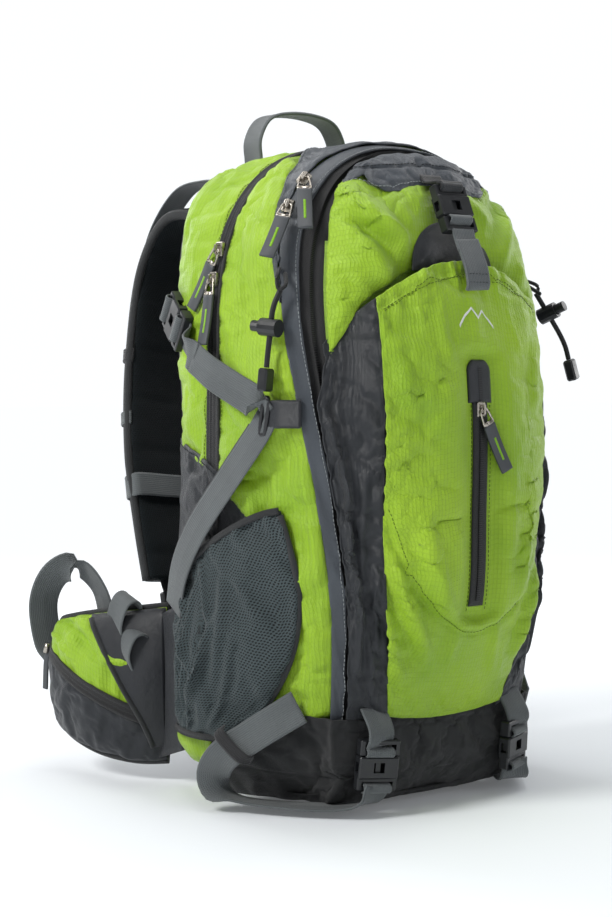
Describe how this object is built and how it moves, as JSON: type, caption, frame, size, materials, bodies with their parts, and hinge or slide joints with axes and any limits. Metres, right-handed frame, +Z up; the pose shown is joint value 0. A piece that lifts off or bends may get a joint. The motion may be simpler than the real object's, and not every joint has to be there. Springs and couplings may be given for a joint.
{
  "type": "hiking backpack",
  "caption": "Soft hiking backpack standing on its base: twin-zip bag, stash pocket, mesh side pockets, padded shoulder straps, belt wings and side-release buckles.",
  "frame": {"origin": "middle of the flat base, on the floor", "axes": "+Z up, -Y the pack's front, +Y towards the wearer's back, -X the wearer's left"},
  "size_m": [0.3407, 0.3944, 0.559],
  "materials": {
    "black_fabric": "matte",
    "black_plastic": "semi-gloss",
    "buckle_plastic": "semi-gloss",
    "elastic_cord": "matte",
    "frame_plastic": "matte",
    "green_ripstop": "satin",
    "mesh": "matte",
    "spacer_mesh": "matte",
    "webbing": "matte",
    "zip_metal": "brushed"
  },
  "bodies": {
    "bag": {"back_panel": "spacer_mesh", "base_panel": "black_fabric", "bottom_buckle_female_left": "buckle_plastic", "bottom_buckle_female_right": "buckle_plastic", "bottom_strap_left": "webbing", "bottom_strap_right": "webbing", "bungee_cord_left": "elastic_cord", "bungee_cord_right": "elastic_cord", "cord_end_left": "black_plastic", "cord_end_right": "black_plastic", "frame_sheet": "frame_plastic", "front_gusset": "green_ripstop", "front_panel": "green_ripstop", "lid_strap": "webbing", "mesh_pocket_left": "mesh", "mesh_pocket_right": "mesh", "rear_gusset": "green_ripstop", "shoulder_webbing_left": "webbing", "shoulder_webbing_right": "webbing", "side_buckle_female_left": "buckle_plastic", "side_buckle_female_right": "buckle_plastic", "side_strap_left": "webbing", "side_strap_right": "webbing", "stash_pocket": "green_ripstop"},
    "flap": {"top_flap": "green_ripstop", "lid_buckle_female": "buckle_plastic"},
    "lid_plug": {"lid_buckle_male": "buckle_plastic"},
    "handle": {"haul_handle": "webbing"},
    "shoulder_left": {"shoulder_strap_left": "spacer_mesh", "load_lifter_left": "webbing", "sternum_strap_left": "webbing", "ladder_lock_left": "buckle_plastic"},
    "belt_left": {"hip_wing_left": "green_ripstop", "hip_strap_left": "webbing", "hip_buckle_female": "buckle_plastic"},
    "side_plug_left": {"side_buckle_male_left": "buckle_plastic"},
    "mat_plug_left": {"bottom_buckle_male_left": "buckle_plastic"},
    "lock_left": {"cord_lock_left": "black_plastic"},
    "button_left": {"cord_lock_button_left": "black_plastic"},
    "shoulder_right": {"shoulder_strap_right": "spacer_mesh", "load_lifter_right": "webbing", "sternum_strap_right": "webbing", "ladder_lock_right": "buckle_plastic"},
    "belt_right": {"hip_wing_right": "green_ripstop", "hip_strap_right": "webbing", "hip_buckle_male": "buckle_plastic"},
    "side_plug_right": {"side_buckle_male_right": "buckle_plastic"},
    "mat_plug_right": {"bottom_buckle_male_right": "buckle_plastic"},
    "lock_right": {"cord_lock_right": "black_plastic"},
    "button_right": {"cord_lock_button_right": "black_plastic"},
    "pocket_zip_car": {"pocket_zip_slider": "zip_metal"},
    "pocket_zip_tab": {"pocket_zip_pull": "webbing"},
    "main_zip_upper_car": {"main_zip_upper_slider": "zip_metal"},
    "main_zip_upper_tab": {"main_zip_upper_pull": "webbing"},
    "main_zip_lower_car": {"main_zip_lower_slider": "zip_metal"},
    "main_zip_lower_tab": {"main_zip_lower_pull": "webbing"},
    "front_zip_upper_car": {"front_zip_upper_slider": "zip_metal"},
    "front_zip_upper_tab": {"front_zip_upper_pull": "webbing"},
    "front_zip_lower_car": {"front_zip_lower_slider": "zip_metal"},
    "front_zip_lower_tab": {"front_zip_lower_pull": "webbing"}
  },
  "joints": [
    {"name": "flap_fold", "type": "hinge", "parent": "bag", "child": "flap", "pos_m": [0, -0.0835, 0.43], "axis": [1, 0, 0], "range_deg": [0, 22]},
    {"name": "lid_release", "type": "slide", "parent": "flap", "child": "lid_plug", "axis": [0, -0.3872, -0.922], "range_m": [0, 0.008]},
    {"name": "handle_fold", "type": "hinge", "parent": "bag", "child": "handle", "pos_m": [0, 0.1035, 0.5135], "axis": [1, 0, 0], "range_deg": [-20, 18]},
    {"name": "shoulder_swing_left", "type": "hinge", "parent": "bag", "child": "shoulder_left", "pos_m": [-0.05, 0.12, 0.498], "axis": [1, 0, 0], "range_deg": [0, 18]},
    {"name": "belt_swing_left", "type": "hinge", "parent": "bag", "child": "belt_left", "pos_m": [-0.114, 0.124, 0.082], "axis": [0, 0, 1], "range_deg": [0, 35]},
    {"name": "side_release_left", "type": "slide", "parent": "bag", "child": "side_plug_left", "axis": [-0.2156, -0.776, -0.5928], "range_m": [0, 0.016]},
    {"name": "mat_release_left", "type": "slide", "parent": "bag", "child": "mat_plug_left", "axis": [0.0398, -0.0994, 0.9943], "range_m": [0, 0.016]},
    {"name": "lock_slide_left", "type": "slide", "parent": "bag", "child": "lock_left", "axis": [-0.0632, 0.0903, -0.9939], "range_m": [-0.004, 0.004]},
    {"name": "button_press_left", "type": "slide", "parent": "lock_left", "child": "button_left", "axis": [0.2823, -0.9536, -0.1046], "range_m": [0, 0.003], "stiffness_N_per_m": 400, "springref_m": -0.001},
    {"name": "shoulder_swing_right", "type": "hinge", "parent": "bag", "child": "shoulder_right", "pos_m": [0.05, 0.12, 0.498], "axis": [1, 0, 0], "range_deg": [0, 18]},
    {"name": "belt_swing_right", "type": "hinge", "parent": "bag", "child": "belt_right", "pos_m": [0.114, 0.124, 0.082], "axis": [0, 0, -1], "range_deg": [0, 35]},
    {"name": "side_release_right", "type": "slide", "parent": "bag", "child": "side_plug_right", "axis": [0.2156, -0.776, -0.5928], "range_m": [0, 0.016]},
    {"name": "mat_release_right", "type": "slide", "parent": "bag", "child": "mat_plug_right", "axis": [-0.0398, -0.0994, 0.9943], "range_m": [0, 0.016]},
    {"name": "lock_slide_right", "type": "slide", "parent": "bag", "child": "lock_right", "axis": [0.5014, -0.2121, -0.8388], "range_m": [-0.004, 0.004]},
    {"name": "button_press_right", "type": "slide", "parent": "lock_right", "child": "button_right", "axis": [-0.2909, 0.8717, -0.3943], "range_m": [0, 0.003], "stiffness_N_per_m": 400, "springref_m": -0.001},
    {"name": "pocket_zip_run", "type": "slide", "parent": "bag", "child": "pocket_zip_car", "axis": [0, 0, -1], "range_m": [0, 0.145]},
    {"name": "pocket_zip_tab_swing", "type": "hinge", "parent": "pocket_zip_car", "child": "pocket_zip_tab", "pos_m": [0, -0.1242, 0.3118], "axis": [-1, 0, 0], "range_deg": [0, 120]},
    {"name": "main_zip_upper_run", "type": "slide", "parent": "bag", "child": "main_zip_upper_car", "axis": [-0.0599, 0, -0.9982], "range_m": [-0.004, 0]},
    {"name": "main_zip_upper_tab_swing", "type": "hinge", "parent": "main_zip_upper_car", "child": "main_zip_upper_tab", "pos_m": [-0.13377, 0.037, 0.43662], "axis": [-0.0343, 0.8191, -0.5725], "range_deg": [0, 120]},
    {"name": "main_zip_lower_run", "type": "slide", "parent": "bag", "child": "main_zip_lower_car", "axis": [-0.0599, 0, -0.9982], "range_m": [0, 0.1]},
    {"name": "main_zip_lower_tab_swing", "type": "hinge", "parent": "main_zip_lower_car", "child": "main_zip_lower_tab", "pos_m": [-0.13971, 0.037, 0.41312], "axis": [0, 1, 0], "range_deg": [0, 120]},
    {"name": "front_zip_upper_run", "type": "slide", "parent": "flap", "child": "front_zip_upper_car", "axis": [-0.7023, 0.0042, -0.7119], "range_m": [-0.003, 0]},
    {"name": "front_zip_upper_tab_swing", "type": "hinge", "parent": "front_zip_upper_car", "child": "front_zip_upper_tab", "pos_m": [-0.09824, -0.02741, 0.49064], "axis": [-0.7907, 0.6122, -0.0018], "range_deg": [0, 120]},
    {"name": "front_zip_lower_run", "type": "slide", "parent": "flap", "child": "front_zip_lower_car", "axis": [-0.5064, -0.1579, -0.8477], "range_m": [0, 0.03]},
    {"name": "front_zip_lower_tab_swing", "type": "hinge", "parent": "front_zip_lower_car", "child": "front_zip_lower_tab", "pos_m": [-0.11571, -0.02906, 0.4685], "axis": [-0.5703, 0.7987, 0.1919], "range_deg": [0, 120]}
  ]
}
